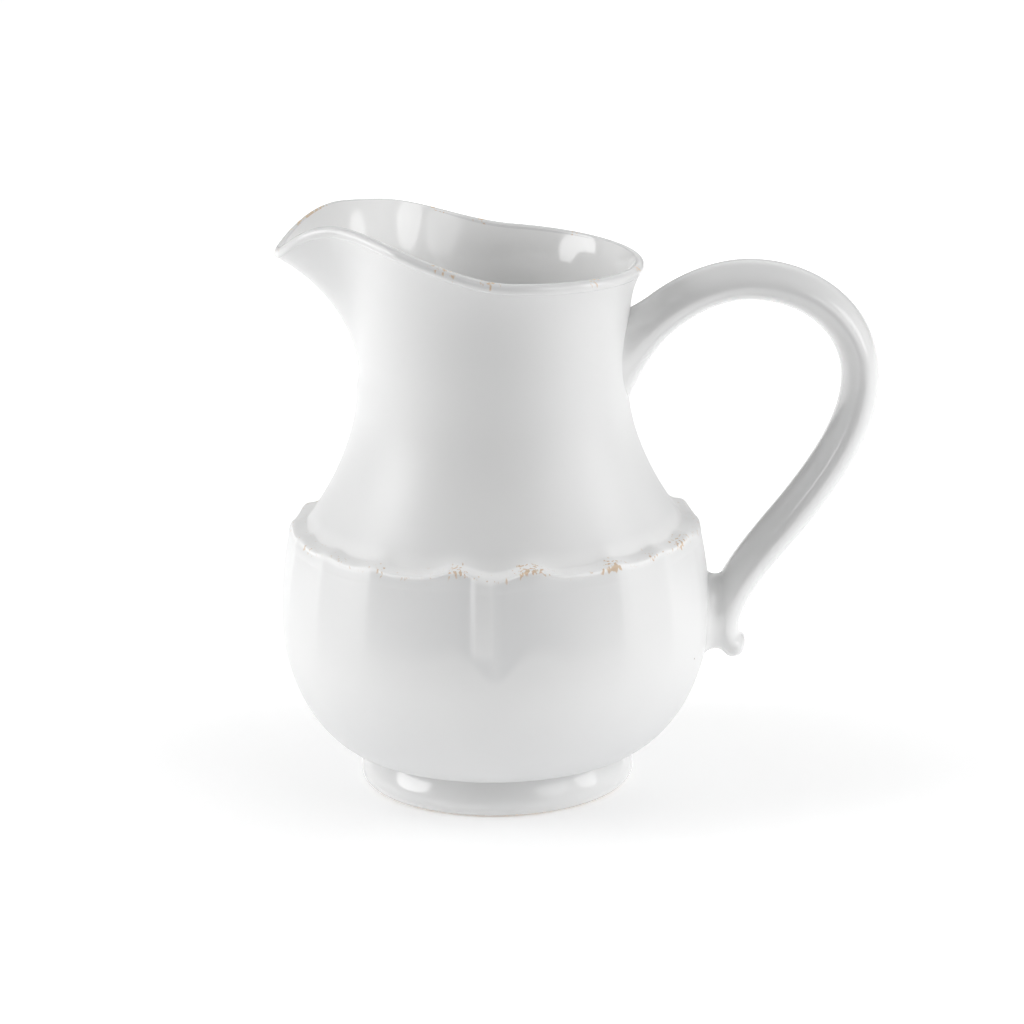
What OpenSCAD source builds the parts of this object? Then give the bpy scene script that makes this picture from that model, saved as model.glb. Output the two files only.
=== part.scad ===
// Stoneware pitcher: round belly under a scalloped ledge, waisted neck, pulled spout and loop handle.
// Origin at the centre of the foot on the table, +Z up, spout towards -X, handle towards +X.

/* [Vessel] */
// Largest radius of the belly
belly_r = 77.4; // [72:0.1:84]
// Height of the widest part of the belly
belly_z = 62; // [56:0.5:68]
// Radius of the waist of the neck
neck_r = 48.6; // [44:0.1:52]
// Height of the waist of the neck
neck_z = 146; // [140:0.5:150]
// Thickness of the wall
wall = 4.4; // [3.6:0.1:5.2]
// Height of the inside floor
floor_z = 12.6; // [12:0.2:14]

/* [Ledge] */
// Height of the scalloped edge
ledge_z = 97; // [94:0.5:100]
// Radius of the scalloped edge
ledge_r = 74.6; // [72:0.1:76]
// How far the round bumps beside the front point rise
bump_rise = 3.2; // [0:0.1:4]
// How far the small arches between the panels rise
arch_rise = 1.5; // [0:0.1:3]
// Depth of the wide pressed panels
wide_panel_depth = 2.3; // [0.6:0.1:2.6]
// Depth of the narrow pressed panels
narrow_panel_depth = 1.3; // [0.2:0.1:1.8]
// Depth of the wide panels on the seams where they end
seam_depth = 0.5; // [0:0.1:0.6]
// Height of the pressed panels
panel_h = 41; // [34:1:42]
// How much lower the pendant reaches where two wide panels meet
pendant_h = 9; // [0:0.5:9]

/* [Mouth] */
// Radius of the mouth to the middle of the rolled rim
mouth_r = 51; // [49.5:0.1:54]
// Height of the rim above the table at the handle
rim_z = 192; // [188:0.5:198]
// How much higher the rim stands where the spout starts
rim_rise = 11.3; // [6:0.1:14]
// Radius of the rolled rim
bead_r = 2.2; // [1.8:0.1:2.6]
// How far the spout reaches out of the round mouth
spout_reach = 23.4; // [16:0.1:28]
// Half the angle that the spout takes up at the rim
spout_angle = 20.5; // [16:0.5:24]
// How far the spout's tip dips below the top of the rim
spout_dip = 13; // [8:0.5:16]

/* [Foot] */
// Outer radius of the foot ring
foot_r = 49.4; // [47:0.1:51]
// Height of the foot ring
foot_h = 14; // [12:0.5:16]
// Inner radius of the foot ring
foot_bore_r = 38; // [34:0.5:40]
// Depth of the hollow under the floor
recess = 7; // [5:0.5:8]

/* [Handle] */
// Thickness of the strap, seen from the side
strap_t = 13.9; // [12:0.1:15]
// Width of the strap, across the pitcher
strap_w = 26; // [20:0.5:30]
// Height of the strap's flared upper end on the neck
root_h = 30.6; // [26:0.2:32]
// Width of the strap's flared upper end on the neck
root_w = 31; // [26:0.5:34]

/* [Hidden] */
glaze = [0.95, 0.95, 0.94];
// Columns of points round the vessel, which fall on every ridge between the panels
columns = 80;
step = 360 / columns;
sides = 20;
eps = 0.01;

// Outline control points, [radius, height]: each run of four is a cubic curve that starts where the last ends
crease = [foot_r - 1.2, foot_h];
belly = [belly_r, belly_z];
ledge_side = [ledge_r, ledge_z - 6];
ledge_in = [ledge_r - 7.2, ledge_z + 0.7];
waist = [neck_r, neck_z];
lower_curve = [crease, crease + [12.9, 0], belly - [0.1, 26.5], belly];
upper_curve = [belly, belly + [0, 12], ledge_side + [1.4, -6.5], ledge_side];
ledge_curve = [ledge_side, ledge_side + [-0.4, 7.4], ledge_in + [4.6, -0.1], ledge_in];
neck_curve = [ledge_in, ledge_in + [-8.7, 12.8], waist - [0, 16], waist];

// The same four curves for the inside, which has no ledge
in_floor = [24, floor_z];
in_crease = crease + [0, wall + 0.2];
in_belly = belly - [wall, 0];
in_side = [ledge_r - wall - 1.4, ledge_z - 8];
in_waist = waist - [wall, 0];
in_bowl = [in_floor, in_floor + [10, 0], in_crease - [11.5, 1], in_crease];
in_lower = [in_crease, in_crease + [12.5, 1], in_belly - [0, 25], in_belly];
in_upper = [in_belly, in_belly + [0, 10], in_side + [1.6, -5], in_side];
in_neck = [in_side, in_side + [-7, 18], in_waist - [0, 17], in_waist];

// Handle centre line, [x, z], five cubic curves end to end, from the neck round to the curled tail
path = [
    [49.5, 161], [58, 172], [74, 183.9], [91, 183.9],
    [113, 183.9], [131.4, 169], [131.4, 148], [131.4, 132],
    [121.7, 116.2], [107.3, 98], [96.5, 84.8], [87.5, 75],
    [83.9, 64], [82.3, 58.5], [82.6, 52.8], [86.3, 48.9]
];
// Height of the middle of the flared upper end, and where on the first curve it has become the strap
root_z = 158.6;
root_end = 0.32;

function bez(p, t) =
    pow(1 - t, 3) * p[0] + 3 * pow(1 - t, 2) * t * p[1] + 3 * (1 - t) * t * t * p[2] + pow(t, 3) * p[3];
function run(p, n) = [for (i = [1:n]) bez(p, i / n)];
function clamp01(u) = max(0, min(1, u));
function smooth(u) = let (c = clamp01(u)) c * c * (3 - 2 * c);
function hump(x, width) = exp(-pow(x / width, 2));
function polar(r, a, z) = [r * cos(a), r * sin(a), z];

// Angles run from the handle; from_spout is from the spout, and off_front from the nearer of front and back
function from_spout(a) = abs((a % 360) - 180);
function off_front(a) = abs(90 - a % 180);

// Scalloped edge: a point at the front between two round bumps, and small arches where narrow panels meet
arches = [36:18:90];
bump_at = 10.5;
bump_width = 6;
arch_width = 4;
edge_drop = 1.3;
function total(list) = [for (x = list) 1] * list;
function scallop(a) =
    let (f = off_front(a))
    bump_rise * hump(f - bump_at, bump_width) - edge_drop
    + arch_rise * total([for (k = arches) hump(f - k, arch_width)]);

// Pressed panels: two wide ones meet at the front and at the back, and narrow ones fill the sides
wide = 36;
narrow = 18;
// Below the scalloped edge the surface turns in to the panel over this height
lip = 1.7;
// The panels on the sides reach this much lower
side_drop = 3;
// Half the angle over which the pendant and the shoulder of a seam fade out
pendant_width = 6;
seam_width = 2;
// A narrow raised rib stands on one side of the seam: its middle and half width, in degrees from the seam
rib_at = -3.6;
rib_width = 2.2;
rib_rise = 0.9;
function panel_depth(f) =
    f < wide ? wide_panel_depth - (wide_panel_depth - seam_depth) * pow(2 * f / wide - 1, 2)
    : narrow_panel_depth * (1 - pow(2 * ((f - wide) % narrow) / narrow - 1, 2))
        + seam_depth * hump(f - wide, seam_width);
function panel_height(f) = panel_h + pendant_h * hump(f, pendant_width) + side_drop * smooth((f - wide) / 6);
function rib(a) = smooth((rib_width - abs(a % 180 - 90 - rib_at)) / 0.8);
// The vessel is left plain under the lower end of the handle: none of the panel within the first angle of it
plain_to = 14;
panel_from = 22;
function clear(a) = smooth((min(a % 360, 360 - a % 360) - plain_to) / (panel_from - plain_to));
// Fades straight from 1 at the edge to 0 at the panel's lower end, with a small rounding at the end
function fade(u) = let (left = 1 - u) (left + sqrt(left * left + 0.0015)) / 2;
function pressed(a, z) =
    let (f = off_front(a), down = ledge_z + scallop(a) - z)
    panel_depth(f) * clear(a) * smooth(down / lip) * fade(down / panel_height(f))
        * (1 - rib_rise * rib(a) * (1 - smooth((down - panel_h + 4) / pendant_width)));

// Rim: its middle line and its outward direction in plan. The mouth is widest beside the spout, and the rim
// climbs from the handle to where the spout starts, then dips to the spout's tip
shoulder_w = 2;
shoulder_at = 50;
shoulder_width = 22;
handle_set = 1.2;
handle_width = 40;
tilt = 0.06;
climb_from = -8;
climb_over = 60;
dip_power = 2.1;
function mouth(a) = mouth_r + shoulder_w * hump(from_spout(a) - shoulder_at, shoulder_width)
    + handle_set * hump(180 - from_spout(a), handle_width);
function rim_r(a) = mouth(a) + spout_reach * hump(from_spout(a), spout_angle);
function rim_dip(x) = spout_dip * pow(max(0, (x - mouth_r - 1) / (spout_reach - 1)), dip_power);
function rim_top(a) =
    let (x = -rim_r(a) * cos(a))
    rim_z + tilt * (mouth_r + x) + rim_rise * smooth((x - climb_from) / climb_over) - rim_dip(x);
function rim_mid(a) = polar(rim_r(a), a, rim_top(a) - bead_r);
function rim_out(a) = let (d = rim_mid(a + 0.5) - rim_mid(a - 0.5), n = [d.y, -d.x, 0]) n / norm(n);
function on_roll(a, q) = rim_mid(a) + bead_r * (cos(q) * rim_out(a) + [0, 0, sin(q)]);
// Angle on the roll, below its widest point, that the wall meets it at
seat_q = 40;

// Neck wall above the waist: t runs from 0 at the waist to 1 under the rolled rim. The spout starts as a
// slight hollow, then swells and narrows with height
dent = 1.2;
dent_width = 45;
dent_full = 0.15;
dent_over = 0.75;
swell_power = 2.4;
spread_power = 0.6;
flare_power = 5;
seat_power = 4;
// Share of its thickness that the wall loses on its way up to the rim
taper = 0.2;
function dented(a, t) =
    dent * hump(from_spout(a), dent_width) * smooth(t / dent_full) * (1 - smooth(t / dent_over));
function spout(a, t) =
    spout_reach * pow(t, swell_power) * hump(from_spout(a), spout_angle * pow(max(t, eps), spread_power));
function plain_wall(a, t) =
    let (z = neck_z + (rim_mid(a).z - neck_z) * t)
    polar(neck_r + (mouth(a) - neck_r) * pow(t, flare_power) + spout(a, t) - dented(a, t), a, z);
function outer_wall(a, t) = plain_wall(a, t) + pow(t, seat_power) * (on_roll(a, -seat_q) - plain_wall(a, 1));
function wall_out(a, t) =
    let (
        u = outer_wall(a + 0.5, t) - outer_wall(a - 0.5, t),
        v = outer_wall(a, t + eps) - outer_wall(a, t - eps)
    )
    cross(u, v) / norm(cross(u, v));
function offset_wall(a, t) = outer_wall(a, t) - wall * (1 - taper * t) * wall_out(a, t);
function inner_wall(a, t) =
    let (p = t < 0.05 ? polar(neck_r - wall, a, neck_z) : offset_wall(a, t))
    p + pow(t, seat_power) * (on_roll(a, 180 + seat_q) - offset_wall(a, 1));

function ring_of(p) = [for (i = [0:columns - 1]) polar(p[0], i * step, p[1])];
// The scalloped edge draws the rings beside it up and down, less and less until this far above and below it
draw_over = 9;
function pressed_ring(p) = [
    for (i = [0:columns - 1]) let (
        a = i * step,
        z = p[1] + scallop(a) * smooth(1 - abs(p[1] - ledge_z + 1) / draw_over)
    ) polar(p[0] - pressed(a, z), a, z)
];

// Radius of the vessel's outside at a height, found on the curves that the handle touches
function reach(curve, z, lo = 0, hi = 1, n = 14) =
    let (m = (lo + hi) / 2)
    n == 0 ? bez(curve, m)[0]
    : bez(curve, m)[1] < z ? reach(curve, z, m, hi, n - 1)
    : reach(curve, z, lo, m, n - 1);
function belly_at(z) = z < belly_z ? reach(lower_curve, z) : reach(upper_curve, z);
function neck_at(z) =
    z < neck_z ? reach(neck_curve, z)
    : outer_wall(0, (z - neck_z) / (rim_mid(0).z - neck_z)).x;
function on_round(r, y, z) = [sqrt(r * r - y * y), y, z];

// Handle: section k of the strap, and the flared end between it and the neck
function path_at(s) = let (k = min(4, floor(s))) bez([for (i = [0:3]) path[3 * k + i]], s - k);
function path_dir(s) = let (d = path_at(s + eps) - path_at(s - eps)) d / norm(d);
// The strap is thicker by the neck, thins a little beside the belly, and thins and narrows in the curled tail
neck_swell = 0.12;
belly_thinning = 0.08;
tail_thinning = 0.23;
tail_narrowing = 0.3;
// Power below 1 of the sine and cosine, which squares the oval section a little
squareness = 0.9;
function half_t(s) = strap_t / 2 * (1 + neck_swell * smooth(1 - s / 0.9) - belly_thinning * smooth(s - 3)
    - tail_thinning * smooth((s - 3.9) / 0.9));
function half_w(s) = strap_w / 2 * (1 - tail_narrowing * smooth((s - 3.8) / 1.2));
function lobe(v) = sign(v) * pow(abs(v), squareness);
function section(s, shrink = 1, push = 0) =
    let (c = path_at(s), d = path_dir(s))
    [for (i = [0:sides - 1]) let (
        q = i * 360 / sides,
        n = half_t(s) * shrink * lobe(cos(q)),
        y = half_w(s) * shrink * lobe(sin(q))
    ) [c[0] - d[1] * n + d[0] * push, y, c[1] + d[0] * n + d[1] * push]];
function footprint(size = 1) = [
    for (i = [0:sides - 1]) let (
        q = i * 360 / sides,
        y = size * root_w / 2 * sin(q),
        z = root_z + size * root_h / 2 * cos(q)
    ) on_round(neck_at(z), y, z)
];
function hermite(p, q, m, n, t) =
    (2 * pow(t, 3) - 3 * t * t + 1) * p + (pow(t, 3) - 2 * t * t + t) * m
    + (3 * t * t - 2 * pow(t, 3)) * q + (pow(t, 3) - t * t) * n;
function flare(t) =
    let (from = footprint(), to = section(root_end), d = path_dir(root_end))
    [for (i = [0:sides - 1]) let (l = norm(to[i] - from[i]))
        hermite(from[i], to[i], l * [0.6, 0, 0.8], l * [d[0], 0, d[1]], t)];

// A closed solid from rings of equal length, with a fan of triangles on each end
function flat(list) = [for (r = list) for (p = r) p];
module skin(rings) {
    n = len(rings[0]);
    m = len(rings);
    side = [
        for (j = [0:m - 2]) for (i = [0:n - 1]) let (k = (i + 1) % n)
            each [[j * n + i, j * n + k, (j + 1) * n + k], [j * n + i, (j + 1) * n + k, (j + 1) * n + i]]
    ];
    ends = [
        for (i = [0:n - 1]) let (k = (i + 1) % n)
            each [[k, i, m * n], [(m - 1) * n + i, (m - 1) * n + k, m * n + 1]]
    ];
    middle = [for (r = [rings[0], rings[m - 1]]) mean(r)];
    polyhedron(concat(flat(rings), middle), concat(side, ends), convexity = 8);
}
function mean(r) = [for (i = [0:len(r) - 1]) 1] * r / len(r);

module body() {
    rises = [0.1, 0.2, 0.32, 0.45, 0.58, 0.7, 0.8, 0.9, 1];
    outside = concat(
        [ring_of([foot_bore_r, recess]), ring_of([foot_bore_r, foot_h]), ring_of(crease)],
        [for (p = run(lower_curve, 9)) pressed_ring(p)],
        [for (p = run(upper_curve, 6)) pressed_ring(p)],
        [for (p = run(ledge_curve, 6)) pressed_ring(p)],
        [for (p = run(neck_curve, 7)) pressed_ring(p)],
        [for (t = rises) [for (i = [0:columns - 1]) outer_wall(i * step, t)]]
    );
    inside = concat(
        [ring_of(in_floor)],
        [for (p = run(in_bowl, 5)) ring_of(p)],
        [for (p = run(in_lower, 7)) ring_of(p)],
        [for (p = run(in_upper, 3)) ring_of(p)],
        [for (p = run(in_neck, 7)) ring_of(p)],
        [for (t = rises) [for (i = [0:columns - 1]) inner_wall(i * step, t)]]
    );
    color(glaze) skin(concat(outside, [for (k = [len(inside) - 1:-1:0]) inside[k]]));
}

module foot_ring() {
    side = [
        [foot_r - 2.3, 0], [foot_r - 1, 1.5], [foot_r - 0.2, 4],
        [foot_r, 7], [foot_r - 0.2, 10], [crease[0] - 0.1, foot_h]
    ];
    hollow = [[foot_bore_r, foot_h], [foot_bore_r, 1], [foot_bore_r + 1, 0]];
    color(glaze) rotate_extrude($fn = 120) polygon(concat(side, hollow));
}

// The rolled rim sits on the top edge of the wall, so its rings close on themselves round the mouth
module rim_bead() {
    arc_steps = 8;
    n = arc_steps + 1;
    sweep = 180 + 2 * seat_q;
    turns = [for (k = [0:arc_steps]) -seat_q + sweep * k / arc_steps];
    points = flat([for (i = [0:columns - 1]) [for (q = turns) on_roll(i * step, q)]]);
    faces = [
        for (i = [0:columns - 1]) for (k = [0:arc_steps]) let (
            j = (i + 1) % columns,
            l = (k + 1) % n
        ) each [[i * n + k, j * n + l, j * n + k], [i * n + k, i * n + l, j * n + l]]
    ];
    color(glaze) polyhedron(points, faces, convexity = 6);
}

module handle() {
    strap = [for (s = [root_end, 0.5, 0.75, 1]) section(s)];
    loop = [for (k = [1:32]) section(1 + k / 8)];
    tip = [for (q = [30, 60, 80]) section(5, cos(q), strap_t * 0.28 * sin(q))];
    color(glaze) skin(concat(strap, loop, tip));
}

module upper_slip_joint() {
    seat = [for (size = [0.05, 0.35, 0.7]) footprint(size)];
    color(glaze) skin(concat(seat, [for (k = [0:5]) flare(k / 5)]));
}

// Slip pressed between the strap's inner side and the belly
module lower_slip_joint() {
    first = 23;
    last = 31;
    strap = [for (k = [first:last]) section(1 + k / 8)];
    inner = [for (i = [6:14]) i];
    color(glaze) pad([for (r = strap) [for (i = inner) r[i]]]);
}
module pad(grid) {
    m = len(grid);
    n = len(grid[0]);
    onto = [for (r = grid) [for (p = r) on_round(belly_at(p.z), p.y, p.z)]];
    top = [for (j = [0:m - 2]) for (i = [0:n - 2]) let (b = j * n + i)
        each [[b, b + n + 1, b + 1], [b, b + n, b + n + 1]]];
    base = [for (f = top) [f[2] + m * n, f[1] + m * n, f[0] + m * n]];
    edge = concat(
        [for (i = [0:n - 2]) i],
        [for (j = [0:m - 2]) j * n + n - 1],
        [for (i = [n - 1:-1:1]) (m - 1) * n + i],
        [for (j = [m - 1:-1:1]) j * n]
    );
    rim = [for (i = [0:len(edge) - 1]) let (p = edge[i], q = edge[(i + 1) % len(edge)], g = m * n)
        each [[p, q, q + g], [p, q + g, p + g]]];
    polyhedron(concat(flat(grid), flat(onto)), concat(top, base, rim), convexity = 4);
}

body();
foot_ring();
rim_bead();
handle();
upper_slip_joint();
lower_slip_joint();
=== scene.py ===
"""Glazed stoneware pitcher: fine meshes, glaze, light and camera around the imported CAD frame.

Shape functions work in millimetres, with angles in degrees from the handle, and meshes are made in metres.
"""
import math

import bpy
import numpy as np
from mathutils import Matrix, Vector


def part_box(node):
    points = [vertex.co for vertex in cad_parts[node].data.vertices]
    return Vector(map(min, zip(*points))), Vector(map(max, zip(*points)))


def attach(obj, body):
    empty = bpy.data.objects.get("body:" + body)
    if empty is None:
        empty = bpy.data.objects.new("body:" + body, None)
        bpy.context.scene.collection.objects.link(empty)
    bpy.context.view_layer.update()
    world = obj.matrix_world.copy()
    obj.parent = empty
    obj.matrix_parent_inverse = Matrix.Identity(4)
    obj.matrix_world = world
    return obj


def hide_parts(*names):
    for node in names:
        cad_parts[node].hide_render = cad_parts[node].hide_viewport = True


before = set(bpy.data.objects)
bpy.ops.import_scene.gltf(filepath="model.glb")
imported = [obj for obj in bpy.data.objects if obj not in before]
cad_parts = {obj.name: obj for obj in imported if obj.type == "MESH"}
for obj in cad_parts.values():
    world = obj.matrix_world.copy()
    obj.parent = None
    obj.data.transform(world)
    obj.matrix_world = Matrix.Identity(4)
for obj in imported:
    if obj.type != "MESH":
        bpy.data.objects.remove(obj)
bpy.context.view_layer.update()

MM = 0.001


def box_mm(node):
    lo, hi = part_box(node)
    return [v / MM for v in lo], [v / MM for v in hi]


BODY_LOWEST = box_mm("body")[0]
FOOT_HIGHEST = box_mm("foot_ring")[1]
RIM_LOWEST, RIM_HIGHEST = box_mm("rim_bead")

# ---------------------------------------------------------------- sizes
# Vessel
BELLY_R = 77.4
BELLY_Z = 62.0
NECK_R = 48.6
NECK_Z = 146.0
WALL = 4.4
FLOOR_Z = 12.6
RECESS_Z = BODY_LOWEST[2]

# Foot ring: two curves make its side, outwards from its radius and upwards, and points make its bore's edge
FOOT_R = FOOT_HIGHEST[0]
FOOT_H = FOOT_HIGHEST[2]
FOOT_LOW_SIDE = ((-3.6, 0), (-1.6, 0.1), (0, 1.8), (0, 4))
FOOT_HIGH_SIDE = ((0, 4), (0, 6.8), (-1.4, 9.4), (-4.0, FOOT_H))
FOOT_BORE_R = 38.0
FOOT_BORE_EDGE = ((0, FOOT_H), (0, 3), (0.3, 1), (1.2, 0.2), (2.4, 0))
FOOT_WEAR_H = 0.8

# Scalloped ledge: two bumps beside the front and the back, then small arches, at degrees from there
LEDGE_R = 74.6
LEDGE_Z = 97.0
LEDGE_SET = -1.3
BUMP_RISE, BUMP_AT, BUMP_W = 3.2, 10.5, 6.0
ARCH_RISE, ARCH_W = 1.5, 3.8
ARCHES = (36, 54, 72, 90)
# They move the wall this far above and below the ledge, and glaze rounds ridges over this many degrees
SCALLOP_REACH = 9.0
ROUNDING = 0.75

# Pressed panels: two wide ones that meet in a pendant at the front and at the back, and narrow ones between
WIDE_SPAN, NARROW_SPAN = 36.0, 18.0
WIDE_DEPTH, NARROW_DEPTH = 2.3, 1.3
SEAM_DEPTH, SEAM_W = 0.5, 2.0
PANEL_H = 41.0
PENDANT_H, PENDANT_W = 9.0, 6.0
SIDE_DROP, SIDE_DROP_OVER = 3.0, 6.0
# There is no panel within the first angle of the handle, and they are full from the second
PLAIN_TO, PANEL_FROM = 14.0, 22.0
# The wall goes in over this height under the ledge, and a panel's lower end has a corner this soft
LIP = 1.7
PANEL_FADE = 0.0015

# The flat rib beside the seam of the wide panels, in degrees from the seam, and how far down it runs
RIB_FROM, RIB_RISE = -6.4, 1.2
RIB_TO, RIB_FALL = -0.8, 0.6
RIB_H, RIB_END = 25.0, 5.0
# It fills this share of the panel's depth
RIB_SHARE = 0.9

# Painted shade in the panels, a greyer colour standing in for the dark they reflect: how far down it reaches,
# there and in the pendant, and how it ends
SHADE_START = 3.0
SHADE_H, SHADE_END = 28.0, 10.0
SHADE_PENDANT, SHADE_PENDANT_W = 8.0, 5.5
CRISPER, CRISPER_W = 6.0, 9.0
# It is full where a panel has this share of the greatest depth, and fainter in narrow panels and to the sides
SHADE_FULL = 0.4
NARROW_SHADE, NARROW_STEP = 0.8, 2.0
SIDE_FADE, SIDE_FADE_FROM, SIDE_FADE_OVER = 0.6, 4.0, 28.0
# Painted shade on the lower belly, darker towards the bottom
LOW_SHADE, LOW_SHADE_Z, LOW_SHADE_OVER = 1.3, BELLY_Z - 4, 36.0
# Painted highlight on top of the ledge: how much whiter it is, and how far it reaches inwards and down
LEDGE_HIGHLIGHT, LEDGE_HIGHLIGHT_IN, LEDGE_HIGHLIGHT_DOWN, LEDGE_HIGHLIGHT_FADE = 0.8, 4.0, 3.0, 2.0

# Where the glaze has worn through: degrees from the handle, half width in degrees, and strength
EDGE_WEAR = (
    (237.8, 0.9, 0.9), (260.0, 3.0, 0.9), (279.8, 5.5, 1.0), (305.0, 4.0, 1.0), (319.5, 2.0, 0.8),
    (335.5, 4.5, 1.0), (207.0, 2.0, 0.7), (221.5, 2.5, 0.7), (20.0, 3.0, 0.9), (44.0, 5.0, 0.8),
    (71.0, 2.5, 1.0), (98.0, 4.0, 0.9), (131.0, 3.0, 0.8), (158.0, 5.0, 0.9),
)
EDGE_WEAR_BASE = 0.25
# Its height on the ledge: how far below the edge its middle is, and its half height
EDGE_WEAR_AT, EDGE_WEAR_H = 1.0, 1.7
EDGE_WEAR_FROM = LEDGE_Z - 8
RIM_WEAR = (
    (113, 5, 0.9), (94, 3, 0.7), (166, 6, 1.0), (184, 2, 0.7), (253, 6, 0.75), (270, 4, 0.65), (313, 3, 0.8),
    (52, 3, 0.8), (345, 4, 0.65),
)

# Mouth: it is set out a little at the handle, and wider on both sides of the spout, at degrees from there
BEAD_R = 2.2
MOUTH_SET, MOUTH_SET_W = 1.2, 40.0
MOUTH_R = RIM_HIGHEST[0] - BEAD_R - MOUTH_SET
WIDER_BY, WIDER_AT, WIDER_W = 2.0, 50.0, 22.0

# Spout: its rim dips towards the tip, and the wall under it is dented between these shares of the height
SPOUT_REACH = -RIM_LOWEST[0] - MOUTH_R - BEAD_R
SPOUT_ANGLE = 20.5
SPOUT_DIP, DIP_FROM, DIP_POWER = 13.0, 1.0, 2.1
SPOUT_DENT, DENT_W, DENT_FULL, DENT_GONE = 1.2, 45.0, 0.15, 0.75

# Rim: it is tilted and climbs towards the spout
RIM_Z = 192.0
RIM_TILT = 0.06
RIM_RISE, RISE_FROM, RISE_OVER = 11.3, -8.0, 60.0

# How the neck flares to the mouth and swells to the spout, as powers of the share of its height
FLARE_POWER, SWELL_POWER, SPREAD_POWER, SEAT_POWER = 5, 2.4, 0.6, 4
# How much thinner the wall gets up to the rim, and the share of the height over which the lining joins it
WALL_THINNING = 0.2
LINING_JOIN = 0.06

# Section of the rim, outwards and upwards from its middle in radii: round outside, and flush inside
RIM_SECTION = (
    (0.64, -0.77), (0.94, -0.34), (0.99, 0.14), (0.80, 0.60), (0.42, 0.91), (0.02, 0.97), (-0.30, 0.86),
    (-0.50, 0.62), (-0.64, 0.26), (-0.74, -0.14), (-0.78, -0.50), (-0.60, -0.72), (0.00, -0.80),
)
# Where the outer wall and the lining meet it
SEAT_SIZE, SEAT_TURN = 0.9, math.radians(-50)
WALL_SEAT = (SEAT_SIZE * math.cos(SEAT_TURN), SEAT_SIZE * math.sin(SEAT_TURN))
LINING_SEAT = (-0.40, 0.82)

# Handle: its path is cubic curves end to end, outwards and upwards, and s runs 0 to 1 along the first of them
STRAP_T, STRAP_W = 13.9, 26.0
HANDLE_PATH = (
    (49.5, 161), (58, 172), (74, 183.9), (91, 183.9),
    (113, 183.9), (131.4, 169), (131.4, 148), (131.4, 132),
    (121.7, 116.2), (107.3, 98), (96.5, 84.8), (87.5, 75),
    (83.9, 64), (82.3, 58.5), (82.6, 52.8), (86.3, 48.9),
)
PATH_END = 5
TAIL_FROM = 4
STRAP_POWER = 1.06
# Where it gets thinner or narrower: by what share, from where, and over what length
THINNING = ((0.08, 3.0, 1.0), (0.23, 3.9, 0.9))
NARROWING = ((0.3, 3.8, 1.2),)
ROOT_THICKER, ROOT_THICKER_TO = 0.12, 0.9
# The tail's end is rounded off by rings at these turns
TAIL_ROUND = 0.3
TAIL_TURNS = range(12, 90, 6)

# Upper root: the flared end of the strap on the neck
ROOT_Z, ROOT_H, ROOT_W = 157.6, 28.6, 29.0
ROOT_END, ROOT_OVERLAP = 0.32, 0.02
ROOT_SPREAD = 1.12
ROOT_RISE = (0.6, 0, 0.8)
ROOT_LEAN = 0.35

# Lower root: the clay between the strap and the belly
PAD_Z, PAD_H, PAD_W = 60.6, 29.2, 30.0
PAD_SPREAD = 1.1
PAD_S, PAD_S_REACH, PAD_TURN = 4.35, 0.62, 86.0
PAD_SHRINK = 0.998
PAD_PULL = 0.8

# Roots start under the surface they rise from, and their ends are closed by rings of these sizes
SKIN_SINK, CAP_SINK = 0.03, 2.0
CAP_RINGS = (0.1, 0.5, 0.9)

# Fineness of the meshes
COLUMNS = 480
STRAP_SIDES, PAD_SIDES = 72, 96
LOWER_ROWS, UPPER_ROWS, LEDGE_ROWS, NECK_ROWS, MOUTH_ROWS = 64, 40, 60, 60, 60
BOWL_ROWS, IN_LOWER_ROWS, IN_UPPER_ROWS, IN_NECK_ROWS = 14, 40, 14, 40
STRAP_ROWS, TAIL_ROWS = 230, 50
ROOT_ROWS, PAD_ROWS = 40, 24
FOOT_LOW_ROWS, FOOT_HIGH_ROWS = 14, 18
RIM_STEPS = 5
CURVE_STEPS = 400
# The mouth's rows crowd towards the rim by this power
CROWDING = 1.2
SHARP_ANGLE = 50

# Small steps for directions: along a curve, round the mouth in degrees, and on the roots
EPS = 1e-3
TURN_EPS = 0.25
ROOT_EPS = 0.01


# ---------------------------------------------------------------- curves
def bez(points, t):
    """Points at t along the cubic curve with these four control points."""
    p = np.asarray(points, float)
    t = np.asarray(t, float)[..., None]
    s = 1 - t
    return s**3 * p[0] + 3 * s * s * t * p[1] + 3 * s * t * t * p[2] + t**3 * p[3]


def hermite(p, q, m, n, t):
    """A point at t from p to q, with directions m and n there."""
    return (
        (2 * t**3 - 3 * t * t + 1) * p
        + (t**3 - 2 * t * t + t) * m
        + (3 * t * t - 2 * t**3) * q
        + (t**3 - t * t) * n
    )


def closed_curve(points, steps):
    """A smooth closed curve through the points."""
    p = np.array(points)
    before, after, next_but_one = np.roll(p, 1, 0), np.roll(p, -1, 0), np.roll(p, -2, 0)
    rows = [hermite(p, after, (after - before) / 2, (next_but_one - p) / 2, k / steps) for k in range(steps)]
    return np.stack(rows, 1).reshape(-1, 2)


def smooth(u):
    """0 below 0, 1 above 1, and a soft step between."""
    u = np.clip(u, 0, 1)
    return u * u * (3 - 2 * u)


def hump(x, width):
    return np.exp(-((x / width) ** 2))


def bowed(x, span):
    """1 in the middle of the span and 0 at its ends."""
    return 1 - ((x - span / 2) / (span / 2)) ** 2


def kept_positive(x, corner):
    """x where it is positive and about 0 where it is negative, with a soft corner."""
    return (x + np.sqrt(x**2 + corner)) / 2


def polar(r, a, z):
    a = np.radians(a)
    r, a, z = np.broadcast_arrays(r, a, z)
    return np.stack([r * np.cos(a), r * np.sin(a), z], -1)


def unit(v):
    return v / np.linalg.norm(v, axis=-1, keepdims=True)


def point(*xy):
    return np.array(xy, float)


def around(sides):
    """Evenly spaced angles."""
    return np.arange(sides) * 360 / sides


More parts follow.
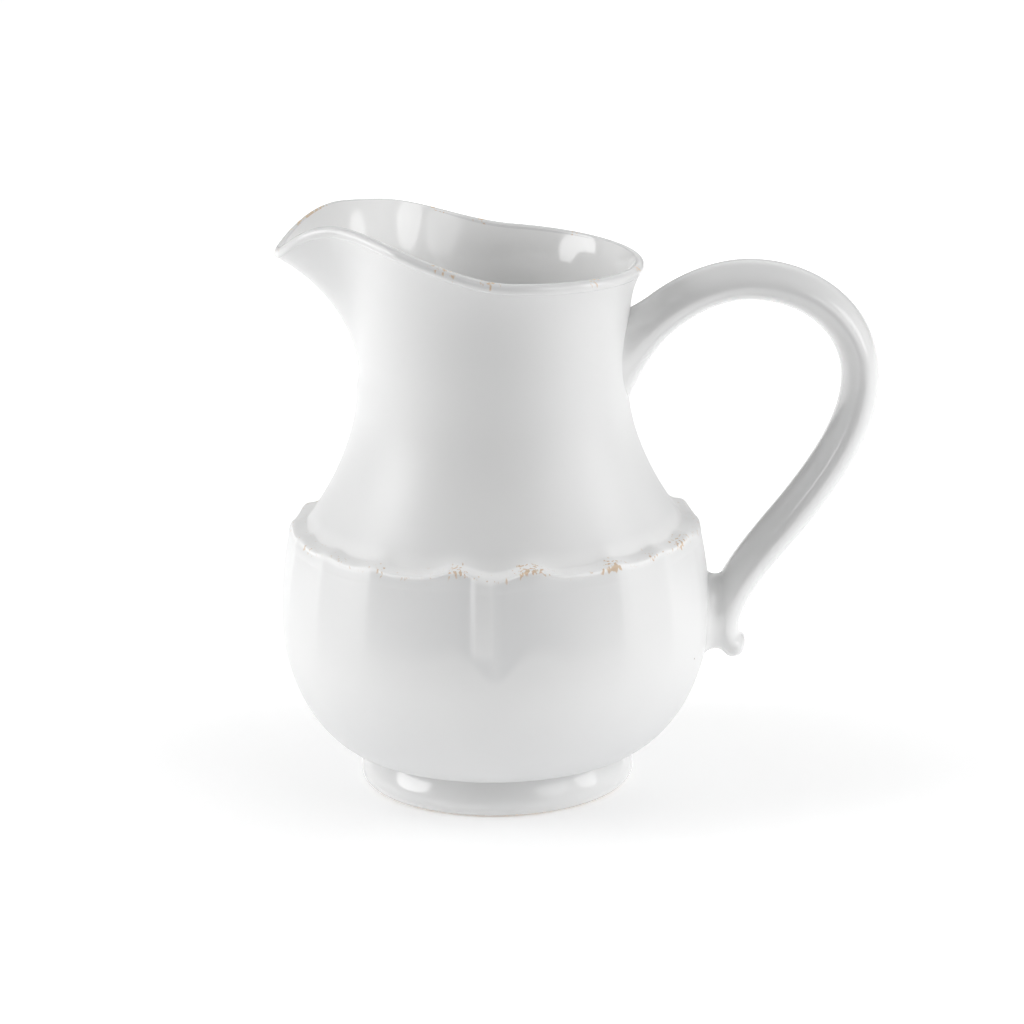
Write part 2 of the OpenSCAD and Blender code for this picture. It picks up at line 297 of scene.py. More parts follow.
# Outline of the vessel, as radius and height: where its curves meet, then their starts, handles and ends
CREASE = point(FOOT_R - 1.2, FOOT_H)
BELLY = point(BELLY_R, BELLY_Z)
LEDGE_SIDE = point(LEDGE_R, LEDGE_Z - 6)
LEDGE_IN = point(LEDGE_R - 7.2, LEDGE_Z + 0.7)
WAIST = point(NECK_R, NECK_Z)
LOWER = (CREASE, CREASE + point(12.9, 0), BELLY - point(0.1, 26.5), BELLY)
UPPER = (BELLY, BELLY + point(0, 12), LEDGE_SIDE + point(1.4, -6.5), LEDGE_SIDE)
LEDGE = (LEDGE_SIDE, LEDGE_SIDE + point(-0.4, 8.1), LEDGE_IN + point(3.6, -1.2), LEDGE_IN)
NECK = (LEDGE_IN, LEDGE_IN + point(-9.6, 12.2), WAIST - point(0, 16), WAIST)
# Corners of its underside, from the middle outwards
UNDERSIDE = ((20, RECESS_Z), (36, RECESS_Z), (FOOT_BORE_R, RECESS_Z), (FOOT_BORE_R, FOOT_H), CREASE)

# The same for its inside
IN_MIDDLE = point(12, FLOOR_Z)
IN_FLOOR = point(24, FLOOR_Z)
IN_CREASE = CREASE + point(0, WALL + 0.2)
IN_BELLY = BELLY - point(WALL, 0)
IN_SIDE = point(LEDGE_R - WALL - 1.4, LEDGE_Z - 8)
IN_WAIST = WAIST - point(WALL, 0)
IN_BOWL = (IN_FLOOR, IN_FLOOR + point(10, 0), IN_CREASE - point(11.5, 1), IN_CREASE)
IN_LOWER = (IN_CREASE, IN_CREASE + point(12.5, 1), IN_BELLY - point(0, 25), IN_BELLY)
IN_UPPER = (IN_BELLY, IN_BELLY + point(0, 10), IN_SIDE + point(1.6, -5), IN_SIDE)
IN_NECK = (IN_SIDE, IN_SIDE + point(-7, 18), IN_WAIST - point(0, 17), IN_WAIST)


# ---------------------------------------------------------------- ledge
def off_front(a):
    """Degrees from the nearer of the front and the back, which the two wide panels meet at."""
    return np.abs(90 - np.mod(a, 180))


def from_spout(a):
    return np.abs(np.mod(a, 360) - 180)


def scallop(a):
    """Height of the ledge's edge at each angle, from LEDGE_Z."""
    f = off_front(a)
    arches = sum(hump(f - at, ARCH_W) for at in ARCHES)
    return LEDGE_SET + BUMP_RISE * hump(f - BUMP_AT, BUMP_W) + ARCH_RISE * arches


def panel(a):
    """Depth of the pressed panel at each angle: least on the ridges between, and none under the handle."""
    f = off_front(a)
    clear = smooth((180 - from_spout(a) - PLAIN_TO) / (PANEL_FROM - PLAIN_TO))
    wide = SEAM_DEPTH + (WIDE_DEPTH - SEAM_DEPTH) * bowed(f, WIDE_SPAN)
    narrow = NARROW_DEPTH * bowed(np.mod(f - WIDE_SPAN, NARROW_SPAN), NARROW_SPAN)
    return clear * np.where(f < WIDE_SPAN, wide, narrow + SEAM_DEPTH * hump(f - WIDE_SPAN, SEAM_W))


def panel_height(a):
    """How far down each panel reaches: the two wide ones end in a pendant where they meet."""
    f = off_front(a)
    return PANEL_H + PENDANT_H * hump(f, PENDANT_W) + SIDE_DROP * smooth((f - WIDE_SPAN) / SIDE_DROP_OVER)


def rib(a):
    """1 on the narrow flat rib beside the seam of the two wide panels, and 0 elsewhere."""
    g = np.mod(a, 180) - 90
    return smooth((g - RIB_FROM) / RIB_RISE) * (1 - smooth((g - RIB_TO) / RIB_FALL))


def shade_share(a, depth):
    """How much painted shade each angle gets, for a panel of this depth."""
    f = off_front(a)
    full = np.clip(depth / (SHADE_FULL * WIDE_DEPTH), 0, 1)
    fainter = 1 - NARROW_SHADE * smooth((f - WIDE_SPAN) / NARROW_STEP + 0.5)
    return full * fainter * (1 - SIDE_FADE * smooth((f - SIDE_FADE_FROM) / SIDE_FADE_OVER))


def worn_at(a, places):
    """The strongest wear at each angle."""
    return np.max([s * hump(np.mod(a - c + 180, 360) - 180, w) for c, w, s in places], axis=0)


def soften(values):
    """Rounds what runs round the pot, as glaze does to a sharp ridge."""
    reach = max(1, round(len(values) * ROUNDING / 360))
    k = hump(np.arange(-2 * reach, 2 * reach + 1), reach)
    return sum(w * np.roll(values, i - 2 * reach, -1) for i, w in enumerate(k)) / k.sum()


# ---------------------------------------------------------------- mouth
def round_mouth_r(a):
    """Radius of the rim's middle without the spout."""
    wider = WIDER_BY * hump(from_spout(a) - WIDER_AT, WIDER_W)
    return MOUTH_R + wider + MOUTH_SET * hump(180 - from_spout(a), MOUTH_SET_W)


def rim_r(a):
    return round_mouth_r(a) + SPOUT_REACH * hump(from_spout(a), SPOUT_ANGLE)


def rim_top(a):
    x = -rim_r(a) * np.cos(np.radians(a))
    dip = np.clip((x - MOUTH_R - DIP_FROM) / (SPOUT_REACH - DIP_FROM), 0, None) ** DIP_POWER
    tilt = RIM_TILT * (MOUTH_R + x)
    return RIM_Z + tilt + RIM_RISE * smooth((x - RISE_FROM) / RISE_OVER) - SPOUT_DIP * dip


def rim_mid(a):
    return polar(rim_r(a), a, rim_top(a) - BEAD_R)


def rim_out(a):
    d = rim_mid(a + TURN_EPS) - rim_mid(a - TURN_EPS)
    return unit(np.stack([d[..., 1], -d[..., 0], 0 * d[..., 0]], -1))


def rim_point(a, out, up):
    return rim_mid(a) + BEAD_R * (out * rim_out(a) + up * np.array([0, 0, 1.0]))


def height_at(a, t):
    """Height at t from the waist of the neck to the rim."""
    return NECK_Z + (rim_mid(a)[..., 2] - NECK_Z) * t


def plain_wall(a, t):
    """The neck's outside with its spout, before its top turns to the rim."""
    spread = SPOUT_ANGLE * np.maximum(t, EPS) ** SPREAD_POWER
    swell = SPOUT_REACH * hump(from_spout(a), spread) * t**SWELL_POWER
    dent = SPOUT_DENT * hump(from_spout(a), DENT_W) * smooth(t / DENT_FULL) * (1 - smooth(t / DENT_GONE))
    r = NECK_R + (round_mouth_r(a) - NECK_R) * t**FLARE_POWER
    return polar(r + swell - dent, a, height_at(a, t))


def outer_wall(a, t):
    return plain_wall(a, t) + t**SEAT_POWER * (rim_point(a, *WALL_SEAT) - plain_wall(a, 1))


def wall_out(a, t):
    u = outer_wall(a + TURN_EPS, t) - outer_wall(a - TURN_EPS, t)
    v = outer_wall(a, t + EPS) - outer_wall(a, t - EPS)
    return unit(np.cross(u, v))


def wall_back(a, t):
    """The other side of the wall, straight through it."""
    return outer_wall(a, t) - WALL * (1 - WALL_THINNING * t) * wall_out(a, t)


def inner_wall(a, t):
    join = smooth(t / LINING_JOIN)
    start = polar(NECK_R - WALL, a, height_at(a, t))
    return wall_back(a, t) * join + start * (1 - join) + t**2 * (rim_point(a, *LINING_SEAT) - wall_back(a, 1))


# ---------------------------------------------------------------- meshes
def mesh_object(name, verts, faces, attributes=None):
    mesh = bpy.data.meshes.new(name)
    mesh.from_pydata((np.asarray(verts) * MM).tolist(), [], faces)
    mesh.validate()
    for key, values in (attributes or {}).items():
        layer = mesh.attributes.new(key, "FLOAT", "POINT")
        layer.data.foreach_set("value", np.asarray(values, np.float32))
    mesh.shade_smooth()
    mesh.set_sharp_from_angle(angle=math.radians(SHARP_ANGLE))
    obj = bpy.data.objects.new(name, mesh)
    bpy.context.scene.collection.objects.link(obj)
    return obj


def skin(name, rings, fields=None, loop=False):
    """A closed mesh from rings of points: joined end to start if loop, or else capped by fans."""
    rings = np.asarray(rings)
    m, n = rings.shape[:2]
    i = np.arange(n)
    k = (i + 1) % n
    faces = []
    for j in range(m if loop else m - 1):
        a, b = j * n, ((j + 1) % m) * n
        faces += np.stack([a + i, a + k, b + k, b + i], -1).tolist()
    verts = rings.reshape(-1, 3)
    fields = {key: np.asarray(f).reshape(-1) for key, f in (fields or {}).items()}
    if not loop:
        last = (m - 1) * n
        faces += np.stack([k, i, np.full(n, m * n)], -1).tolist()
        faces += np.stack([last + i, last + k, np.full(n, m * n + 1)], -1).tolist()
        verts = np.concatenate([verts, rings[:1].mean(1), rings[-1:].mean(1)])
        fields = {key: np.append(f, [f[0], f[last]]) for key, f in fields.items()}
    return mesh_object(name, verts, faces, fields)


def rows_of(curve, n):
    return bez(curve, np.arange(1, n + 1) / n)


def row(points, edge=0.0, painted_shading=0.0, lining=0.0):
    """A ring of the vessel, with how worn its glaze is, its painted shading (painted shade above 0, painted
    highlight below 0), and whether it is the lining.
    """
    zero = np.zeros(len(points))
    return points, zero + edge, zero + painted_shading, zero + lining


def make_body():
    a = around(COLUMNS)
    line, depth, height = soften(scallop(a)), soften(panel(a)), soften(panel_height(a))
    wear = np.maximum(worn_at(a, EDGE_WEAR), EDGE_WEAR_BASE)
    share = shade_share(a, depth)
    shade_h = SHADE_H + SHADE_PENDANT * hump(off_front(a), SHADE_PENDANT_W)
    shade_end = SHADE_END - CRISPER * hump(off_front(a), CRISPER_W)

    def pressed(r, z0):
        """A ring of the outside, moved up to the scallops and in to the panels."""
        z = z0 + line * smooth(1 - abs(z0 - LEDGE_Z + 1) / SCALLOP_REACH)
        down = LEDGE_Z + line - z
        ridge = rib(a) * (1 - smooth((down - RIB_H) / RIB_END))
        cut = depth * smooth(down / LIP) * kept_positive(1 - down / height, PANEL_FADE)
        cut = cut * (1 - RIB_SHARE * ridge)
        edge = wear * hump(down - EDGE_WEAR_AT, EDGE_WEAR_H) * (z0 > EDGE_WEAR_FROM)
        # Painted shade in the panels, strongest in the wide ones by the front and the back
        painted_shading = share * smooth(down / SHADE_START) * (1 - smooth((down - shade_h) / shade_end + 0.5))
        painted_shading = painted_shading * (1 - ridge)
        # Painted shade on the lower belly, darker towards the bottom
        painted_shading = np.maximum(painted_shading, LOW_SHADE * smooth((LOW_SHADE_Z - z) / LOW_SHADE_OVER))
        # Painted highlight on top of the ledge: a whiter band, carried as painted shading below 0
        on_top = smooth((r - LEDGE_IN[0] + LEDGE_HIGHLIGHT_IN) / LEDGE_HIGHLIGHT_IN) * smooth((LEDGE_HIGHLIGHT_DOWN - down) / LEDGE_HIGHLIGHT_FADE)
        painted_shading = painted_shading - LEDGE_HIGHLIGHT * on_top * (z0 > BELLY_Z)
        return row(polar(r - cut, a, z), edge, painted_shading)

    rises = 1 - (1 - np.arange(1, MOUTH_ROWS + 1) / MOUTH_ROWS) ** CROWDING
    profile = [rows_of(LOWER, LOWER_ROWS), rows_of(UPPER, UPPER_ROWS)]
    profile += [rows_of(LEDGE, LEDGE_ROWS), rows_of(NECK, NECK_ROWS)]
    outside = [row(polar(r, a, z)) for r, z in UNDERSIDE]
    outside += [pressed(r, z) for r, z in np.concatenate(profile)]
    outside += [row(outer_wall(a, t)) for t in rises]

    inner = [rows_of(IN_BOWL, BOWL_ROWS), rows_of(IN_LOWER, IN_LOWER_ROWS)]
    inner += [rows_of(IN_UPPER, IN_UPPER_ROWS), rows_of(IN_NECK, IN_NECK_ROWS)]
    inside = [row(polar(r, a, z), lining=1) for r, z in np.concatenate([[IN_MIDDLE, IN_FLOOR]] + inner)]
    inside += [row(inner_wall(a, t), lining=1) for t in rises]

    points, *fields = [np.array(part) for part in zip(*(outside + inside[::-1]))]
    return skin("vessel", points, dict(zip(("edge", "painted_shading", "lining"), fields)))


def make_rim():
    a = around(COLUMNS)
    section = closed_curve(RIM_SECTION, RIM_STEPS)
    rings = [rim_point(a, out, up) for out, up in section]
    crest = [worn_at(a, RIM_WEAR) * (1 + up) / 2 for out, up in section]
    return skin("rolled_rim", rings, {"edge": crest}, loop=True)


def make_foot():
    low = bez([(FOOT_R + out, z) for out, z in FOOT_LOW_SIDE], np.linspace(0, 1, FOOT_LOW_ROWS))
    high = bez([(FOOT_R + out, z) for out, z in FOOT_HIGH_SIDE], np.linspace(0, 1, FOOT_HIGH_ROWS))
    bore = [(FOOT_BORE_R + out, z) for out, z in FOOT_BORE_EDGE]
    profile = np.concatenate([bore, low, high[1:]])
    rings = [polar(r, around(COLUMNS), z) for r, z in profile]
    edge = [np.full(COLUMNS, float(hump(z, FOOT_WEAR_H))) for r, z in profile]
    return skin("foot", rings, {"edge": edge}, loop=True)


# ---------------------------------------------------------------- handle
def path_at(s):
    s = np.asarray(s, float)
    k = np.clip(np.floor(s), 0, PATH_END - 1).astype(int)
    p = np.array(HANDLE_PATH, float)
    return bez([p[3 * k + i] for i in range(4)], s - k)


def path_dir(s):
    return unit(path_at(np.asarray(s) + EPS) - path_at(np.asarray(s) - EPS))


def left_after(s, losses):
    return 1 - sum(share * smooth((s - start) / over) for share, start, over in losses)


def half_t(s):
    return STRAP_T / 2 * (left_after(s, THINNING) + ROOT_THICKER * smooth(1 - s / ROOT_THICKER_TO))


def half_w(s):
    return STRAP_W / 2 * left_after(s, NARROWING)


def lobe(v):
    return np.sign(v) * np.abs(v) ** STRAP_POWER


def strap_point(s, q, shrink=1.0, push=0.0):
    """A point on the strap: s along its path, q round it from its outer side, in degrees."""
    c, d = path_at(s), path_dir(s)
    n = half_t(s) * shrink * lobe(np.cos(np.radians(q)))
    y = half_w(s) * shrink * lobe(np.sin(np.radians(q)))
    x = c[..., 0] - d[..., 1] * n + d[..., 0] * push
    z = c[..., 1] + d[..., 0] * n + d[..., 1] * push
    return np.stack(np.broadcast_arrays(x, y, z), -1)


def curve_radius(curve, z):
    """Radius of a profile curve at each height."""
    p = bez(curve, np.linspace(0, 1, CURVE_STEPS))
    return np.interp(z, p[:, 1], p[:, 0])


def vessel_radius(z):
    """Radius of the outside on the handle's side."""
    z = np.asarray(z, float)
    t = np.clip((z - NECK_Z) / (rim_mid(np.array(0.0))[2] - NECK_Z), 0, 1)
    wall = NECK_R + (MOUTH_R + MOUTH_SET - NECK_R) * t**FLARE_POWER
    low = np.where(z < BELLY_Z, curve_radius(LOWER, z), curve_radius(UPPER, z))
    high = np.where(z < NECK_Z, curve_radius(NECK, z), wall)
    return np.where(z < LEDGE_SIDE[1], low, high)


def on_vessel(y, z, sink=0.0):
    r = vessel_radius(z) - sink
    return np.stack([np.sqrt(r * r - y * y), y, z], -1)


def make_handle():
    q = around(STRAP_SIDES)
    rings = [strap_point(s, q) for s in np.linspace(ROOT_END, TAIL_FROM, STRAP_ROWS)]
    rings += [strap_point(s, q) for s in np.linspace(TAIL_FROM, PATH_END, TAIL_ROWS)[1:]]
    for turn in np.radians(TAIL_TURNS):
        rings.append(strap_point(PATH_END, q, math.cos(turn), STRAP_T * TAIL_ROUND * math.sin(turn)))
    return skin("strap_handle", rings)


def make_upper_root():
    """The flared end of the strap, which leaves the neck's surface in a fillet and turns into the strap."""
    q = around(STRAP_SIDES)
    c, s = np.cos(np.radians(q)), np.sin(np.radians(q))

    def on_neck(size, sink=SKIN_SINK):
        return on_vessel(size * ROOT_W / 2 * s, ROOT_Z + size * ROOT_H / 2 * c, sink)

    foot = on_neck(ROOT_SPREAD)
    join = ROOT_END + ROOT_OVERLAP
    strap = strap_point(join, q)
    length = np.linalg.norm(strap - foot, axis=1)[:, None]
    inward = unit(on_neck(1.0) - foot)
    ahead = unit(strap_point(join + ROOT_EPS, q) - strap_point(join - ROOT_EPS, q))
    start = length * (ROOT_LEAN * inward + (1 - ROOT_LEAN) * unit(np.array(ROOT_RISE)))
    rings = [on_neck(size, CAP_SINK) for size in CAP_RINGS]
    rings += [hermite(foot, strap, start, length * ahead, t) for t in np.linspace(0, 1, ROOT_ROWS)]
    return skin("upper_root", rings)


def make_lower_root():
    """The clay pressed between the strap and the belly, blended into both."""
    q = around(PAD_SIDES)
    c, s = np.cos(np.radians(q)), np.sin(np.radians(q))

    def on_belly(size, sink=SKIN_SINK):
        return on_vessel(size * PAD_W / 2 * s, PAD_Z + size * PAD_H / 2 * c, sink)

    def on_strap(size):
        return strap_point(PAD_S - size * PAD_S_REACH * c, 180 - size * PAD_TURN * s, PAD_SHRINK)

    foot, strap = on_belly(PAD_SPREAD), on_strap(1.0)
    length = np.linalg.norm(strap - foot, axis=1)[:, None] + PAD_PULL
    inward = unit(on_belly(1.0) - foot)
    outward = unit(on_strap(1 + 2 * ROOT_EPS) - on_strap(1 - 2 * ROOT_EPS))
    rings = [on_belly(size, CAP_SINK) for size in CAP_RINGS]
    rings += [hermite(foot, strap, length * inward, length * outward, t) for t in np.linspace(0, 1, PAD_ROWS)]
    rings += [on_strap(size) + np.array([1.0, 0, 0]) for size in CAP_RINGS[::-1]]
    return skin("lower_root", rings)


# ---------------------------------------------------------------- materials
WHITE = (0.84, 0.84, 0.835)
COOL = (0.79, 0.795, 0.80)
# Grey painted shade for the panels and the lower belly
PAINTED_SHADE = (0.71, 0.715, 0.72)
# White painted highlight for the ledge's top, also painted over the lining to light up the inside
PAINTED_LIGHT = (0.93, 0.93, 0.925)
CLAY = (0.66, 0.47, 0.29, 1)
PIT = (0.30, 0.22, 0.16, 1)
GLAZE_IOR = 1.62
LINING_ROUGH, CLAY_ROUGHER = 0.08, 0.4
# Noise scales in cycles a metre: clouds in the glaze, flecks of wear, pits, and ripples of its surface
CLOUD_SCALE, FLECK_SCALE, PIT_SCALE, RIPPLE_SCALE = 22.0, 800.0, 70.0, 38.0
CLOUD_DETAIL, FLECK_DETAIL, RIPPLE_DETAIL = 3.0, 1.5, 1.0
CLOUD_AMOUNT = 0.7
# How much of the painted shade shows at least, and how much the clouds add to that
SHADE_LEAST, SHADE_CLOUDS = 0.2, 0.6
# The flecks' noise is squeezed by this from top to bottom, so they are taller than wide
FLECK_SQUEEZE = 0.35
# Wear shows where the flecks' noise and this share of the edge attribute together pass a threshold
WEAR_GAIN, WEAR_FROM, WEAR_CRISP, WEAR_NEAR = 0.29, 0.70, 12.0, 3.0
PIT_CHANCE, PIT_SIZE, PIT_DEPTH = 0.1, 0.03, 1.5
RIPPLE_AMOUNT, RIPPLE_HEIGHT = 0.25, 0.0006


def node_material(name):
    mat = bpy.data.materials.new(name)
    mat.use_nodes = True
    tree = mat.node_tree
    return mat, tree, tree.nodes["Principled BSDF"]


def put(tree, socket, value):
    """Links the socket to the value if that is an output, or else sets it."""
    if isinstance(value, bpy.types.NodeSocket):
        tree.links.new(value, socket)
    else:
        socket.default_value = value


def add(tree, kind, inputs=None, **settings):
    node = tree.nodes.new(kind)
    for key, value in settings.items():
        setattr(node, key, value)
    for key, value in (inputs or {}).items():
        put(tree, node.inputs[key], value)
    return node


def math_node(tree, operation, a, b, clamp=False):
    return add(tree, "ShaderNodeMath", {0: a, 1: b}, operation=operation, use_clamp=clamp).outputs[0]


def mix_colour(tree, factor, a, b):
    return add(tree, "ShaderNodeMix", {0: factor, 6: a, 7: b}, data_type="RGBA").outputs[2]


def attribute(tree, key):
    return add(tree, "ShaderNodeAttribute", attribute_name=key).outputs["Fac"]


def noise(tree, place, scale, detail):
    return add(tree, "ShaderNodeTexNoise", {"Vector": place, "Scale": scale, "Detail": detail}).outputs["Fac"]


def glaze(name, wear_amount, rough, tone=1.0):
    """White tin glaze over tan clay: it wears through to the clay on edges, with painted shade, greyer, in
    the panels and on the lower belly, and painted highlight, whiter, on the ledge's top and over the lining.
    """
    mat, tree, shader = node_material(name)
    place = add(tree, "ShaderNodeTexCoord").outputs["Object"]
    edge, painted_shading, lining = [attribute(tree, key) for key in ("edge", "painted_shading", "lining")]
    colours = (WHITE, COOL, PAINTED_SHADE, PAINTED_LIGHT)
    white, cool, shade_tint, light_tint = [[part * tone for part in colour] + [1] for colour in colours]

    cloud = noise(tree, place, CLOUD_SCALE, CLOUD_DETAIL)
    base = mix_colour(tree, math_node(tree, "MULTIPLY", cloud, CLOUD_AMOUNT), white, cool)
    # A painted shading below 0 is a painted highlight, whiter on top of the ledge, and the lining is painted
    # as white to light up the inside
    lightening = math_node(tree, "ADD", math_node(tree, "MULTIPLY", painted_shading, -1.0, True), lining, True)
    base = mix_colour(tree, lightening, base, light_tint)
    # Painted shade: the colour turns greyer where the painted shading is above 0
    blotch = math_node(tree, "ADD", math_node(tree, "MULTIPLY", cloud, SHADE_CLOUDS), SHADE_LEAST)
    base = mix_colour(tree, math_node(tree, "MULTIPLY", painted_shading, blotch, True), base, shade_tint)

    fleck_at = add(tree, "ShaderNodeMapping", {"Vector": place, "Scale": (1.0, 1.0, FLECK_SQUEEZE)})
    fleck = noise(tree, fleck_at.outputs["Vector"], FLECK_SCALE, FLECK_DETAIL)
    through = math_node(tree, "ADD", fleck, math_node(tree, "MULTIPLY", edge, WEAR_GAIN))
    past = math_node(tree, "SUBTRACT", through, WEAR_FROM, True)
    worn = math_node(tree, "MULTIPLY", past, WEAR_CRISP, True)
    near = math_node(tree, "MULTIPLY", edge, WEAR_NEAR, True)
    worn = math_node(tree, "MULTIPLY", math_node(tree, "MULTIPLY", worn, near), wear_amount)
    base = mix_colour(tree, worn, base, CLAY)

    pits = add(tree, "ShaderNodeTexVoronoi", {"Vector": place, "Scale": PIT_SCALE})
    chosen = math_node(tree, "GREATER_THAN", pits.outputs["Color"], 1 - PIT_CHANCE)
    small = math_node(tree, "LESS_THAN", pits.outputs["Distance"], PIT_SIZE)
    pit = math_node(tree, "MULTIPLY", small, chosen)
    put(tree, shader.inputs["Base Color"], mix_colour(tree, pit, base, PIT))

    smoother = math_node(tree, "MULTIPLY", lining, rough - LINING_ROUGH)
    level = math_node(tree, "SUBTRACT", rough, smoother)
    rougher = math_node(tree, "MULTIPLY", worn, CLAY_ROUGHER)
    put(tree, shader.inputs["Roughness"], math_node(tree, "ADD", rougher, level))
    shader.inputs["IOR"].default_value = GLAZE_IOR

    ripple = noise(tree, place, RIPPLE_SCALE, RIPPLE_DETAIL)
    height = math_node(tree, "SUBTRACT", ripple, math_node(tree, "MULTIPLY", pit, PIT_DEPTH))
    bump = {"Height": height, "Strength": RIPPLE_AMOUNT, "Distance": RIPPLE_HEIGHT}
    put(tree, shader.inputs["Normal"], add(tree, "ShaderNodeBump", bump).outputs["Normal"])
    return mat


def build_object():
    body_mat = glaze("white_glaze", wear_amount=0.8, rough=0.4)
    rim_mat = glaze("rim_glaze", wear_amount=0.8, rough=0.1)
    foot_mat = glaze("foot_glaze", wear_amount=0.7, rough=0.1)
    # The handle's glaze is a copy painted 2 per cent darker, as painted shade
    handle_mat = glaze("handle_glaze", wear_amount=0.6, rough=0.14, tone=0.98)
    pieces = (
        (make_body(), body_mat, "glaze", "body"),
        (make_rim(), rim_mat, "rim_glaze", "rim_bead"),
        (make_foot(), foot_mat, "foot_glaze", "foot_ring"),
        (make_handle(), handle_mat, "handle_glaze", "handle"),
        (make_upper_root(), handle_mat, "handle_glaze", "upper_slip_joint"),
        (make_lower_root(), handle_mat, "handle_glaze", "lower_slip_joint"),
    )
    for obj, mat, slot, node in pieces:
        obj.data.materials.append(mat)
        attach(obj, "root")
        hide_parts(node)


# ---------------------------------------------------------------- stage
# Camera: place in metres, tilt and roll in degrees, lens and sensor in millimetres
CAMERA_BACK, CAMERA_UP, CAMERA_ASIDE = 1.400, 0.498, 0.0064
CAMERA_PITCH, CAMERA_ROLL = 15.9, 0.7
CAMERA_LENS, CAMERA_SENSOR = 142.1, 36
CAMERA_SEES = 20

# Softboxes: bearing from the camera's side, with the handle's side positive, then elevation, width, height,
# strength, and how crisp their borders are
SOFTBOXES = {
    "left_softbox": (-80, 20, 1.06, 1.0, 4.3, 5),
    "left_side_softbox": (-120, 22, 0.9, 0.9, 0.5, 4),
    "right_softbox": (50, 24, 0.85, 1.2, 1.4, 5),
    "right_side_softbox": (84, 22, 0.7, 1.1, 2.3, 5),
    "back_softbox": (168, 25, 2.0, 1.2, 0.9, 1),
    "upper_left_softbox": (-90, 50, 1.2, 0.6, 3.4, 1),
}
# How far away they are, and how high above the floor they aim
SOFTBOX_RANGE, SOFTBOX_AIM = 1.5, 0.1

# The studio's walls: bearing, elevation and strength of each broad glow, and how narrow the glows are
WALL_GLOWS = (
    (-90, 15, 0.26), (-135, 15, 0.08), (180, 15, 0.28), (90, 15, 1.05), (45, 10, 0.14), (0, 90, 0.55),
)
GLOW_POWER = 3.0

# The floor reaches this far to the front, back and sides, and glows less round the pitcher than away from it
FLOOR_FRONT, FLOOR_BACK, FLOOR_SIDE = 0.43, 4.0, 3.0
FLOOR_WHITE, FLOOR_ROUGH = 0.85, 0.9
FLOOR_GLOW_NEAR, FLOOR_GLOW_FAR = 0.19, 0.56
# The distance over which its glow rises
FLOOR_GLOW_REACH = 0.32


def make_camera():
    data = bpy.data.cameras.new("camera")
    data.lens = CAMERA_LENS
    data.sensor_width = CAMERA_SENSOR
    data.clip_end = CAMERA_SEES
    cam = bpy.data.objects.new("camera", data)
    tilt = Matrix.Rotation(math.radians(90 - CAMERA_PITCH), 4, "X")
    roll = Matrix.Rotation(math.radians(-CAMERA_ROLL), 4, "Z")
    cam.matrix_world = Matrix.Translation((CAMERA_ASIDE, -CAMERA_BACK, CAMERA_UP)) @ tilt @ roll
    bpy.context.scene.collection.objects.link(cam)
    bpy.context.scene.camera = cam


def towards(bearing, elevation):
    b, e = math.radians(bearing), math.radians(elevation)
    return Vector((math.sin(b) * math.cos(e), -math.cos(b) * math.cos(e), math.sin(e)))


def stage_plane(name, width, height):
    x, y = width / 2, height / 2
    mesh = bpy.data.meshes.new(name)
    mesh.from_pydata([(-x, -y, 0), (x, -y, 0), (x, y, 0), (-x, y, 0)], [], [(0, 1, 2, 3)])
    obj = bpy.data.objects.new(name, mesh)
    bpy.context.scene.collection.objects.link(obj)
    return obj


def round_glow(tree, scale, shift=(0, 0, 0)):
    """1 in the middle and falling to 0 at a distance of 1, once the place is scaled and shifted."""
    place = add(tree, "ShaderNodeTexCoord").outputs["Object"]
    inputs = {"Vector": place, "Location": shift, "Scale": scale}
    fit = add(tree, "ShaderNodeMapping", inputs).outputs["Vector"]
    return add(tree, "ShaderNodeTexGradient", {"Vector": fit}, gradient_type="SPHERICAL").outputs["Fac"]


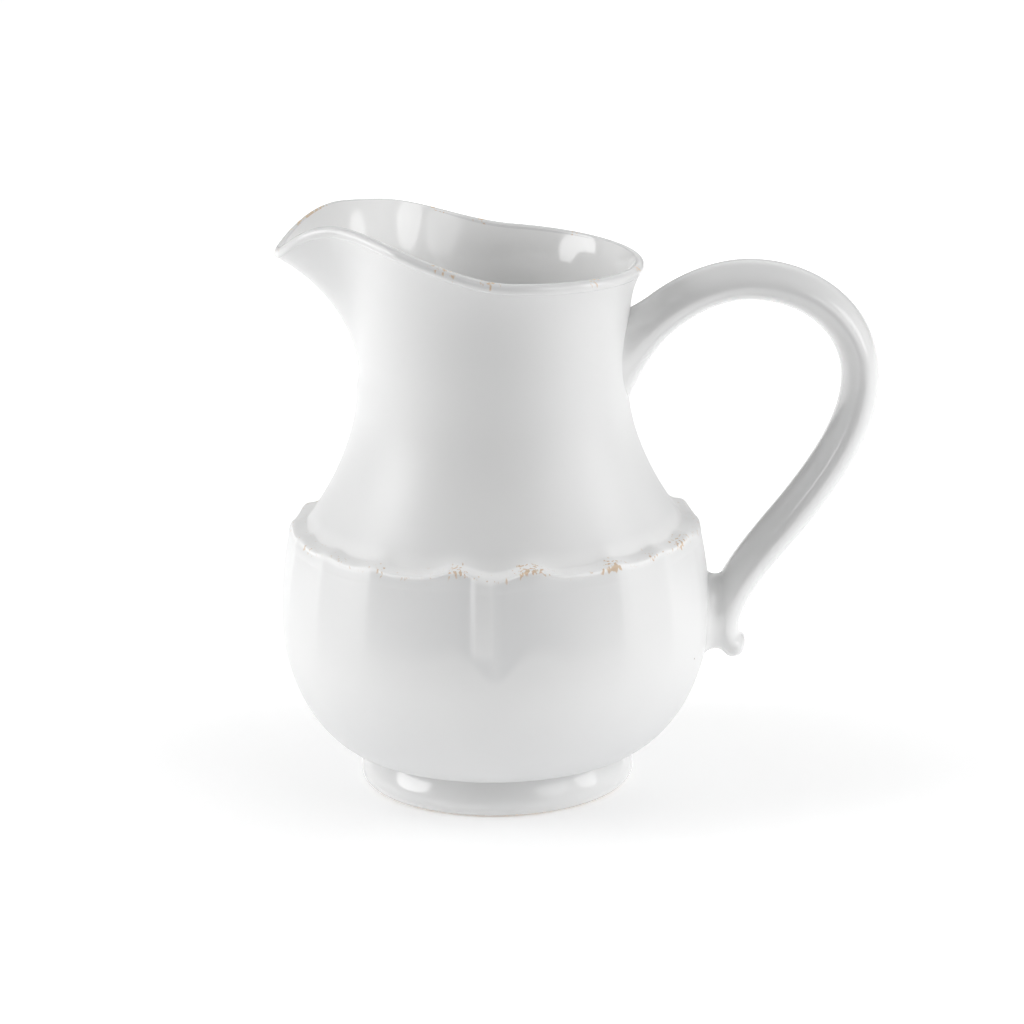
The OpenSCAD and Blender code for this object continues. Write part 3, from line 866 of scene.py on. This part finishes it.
def softbox(name, bearing, elevation, width, height, strength, edge):
    """A light panel that faces the pitcher: it fades from its middle if edge is 1, or at its border if more.

    Other light passes through it, and it doesn't show in the picture itself.
    """
    obj = stage_plane(name, width, height)
    way = towards(bearing, elevation)
    obj.location = way * SOFTBOX_RANGE + Vector((0, 0, SOFTBOX_AIM))
    obj.rotation_euler = way.to_track_quat("Z", "Y").to_euler()
    obj.visible_camera = False
    mat = bpy.data.materials.new(name)
    mat.use_nodes = True
    tree = mat.node_tree
    tree.nodes.clear()
    glow = round_glow(tree, (2 / width, 2 / height, 1))
    power = math_node(tree, "MULTIPLY", math_node(tree, "MULTIPLY", glow, edge, True), strength)
    shine = add(tree, "ShaderNodeEmission", {"Strength": power}).outputs["Emission"]
    clear = add(tree, "ShaderNodeBsdfTransparent").outputs["BSDF"]
    both = add(tree, "ShaderNodeAddShader", {0: shine, 1: clear}).outputs["Shader"]
    add(tree, "ShaderNodeOutputMaterial", {"Surface": both})
    obj.data.materials.append(mat)


def make_floor():
    floor = stage_plane("studio_floor", 2 * FLOOR_SIDE, FLOOR_FRONT + FLOOR_BACK)
    middle = (FLOOR_BACK - FLOOR_FRONT) / 2
    floor.location = (0, middle, 0)
    mat, tree, shader = node_material("pale_floor")
    shader.inputs["Base Color"].default_value = (FLOOR_WHITE, FLOOR_WHITE, FLOOR_WHITE, 1)
    shader.inputs["Roughness"].default_value = FLOOR_ROUGH
    shader.inputs["Emission Color"].default_value = (1, 1, 1, 1)
    near = round_glow(tree, [1 / FLOOR_GLOW_REACH] * 3, (0, middle / FLOOR_GLOW_REACH, 0))
    less = math_node(tree, "MULTIPLY", near, FLOOR_GLOW_FAR - FLOOR_GLOW_NEAR)
    put(tree, shader.inputs["Emission Strength"], math_node(tree, "SUBTRACT", FLOOR_GLOW_FAR, less))
    floor.data.materials.append(mat)


def make_world():
    world = bpy.data.worlds.new("studio")
    world.use_nodes = True
    tree = world.node_tree
    way = add(tree, "ShaderNodeTexCoord").outputs["Generated"]
    total = 0.0
    for bearing, elevation, strength in WALL_GLOWS:
        axis = towards(bearing, elevation)
        facing = add(tree, "ShaderNodeVectorMath", {0: way, 1: axis}, operation="DOT_PRODUCT")
        ahead = math_node(tree, "MAXIMUM", facing.outputs["Value"], 0.0)
        glow = math_node(tree, "POWER", ahead, GLOW_POWER)
        total = math_node(tree, "ADD", math_node(tree, "MULTIPLY", glow, strength), total)
    background = tree.nodes["Background"]
    background.inputs["Color"].default_value = (1, 1, 1, 1)
    put(tree, background.inputs["Strength"], total)
    bpy.context.scene.world = world


def make_stage():
    make_floor()
    for name, box in SOFTBOXES.items():
        softbox(name, *box)
    make_world()
    bpy.context.scene.view_settings.view_transform = "Standard"


make_camera()
build_object()
make_stage()
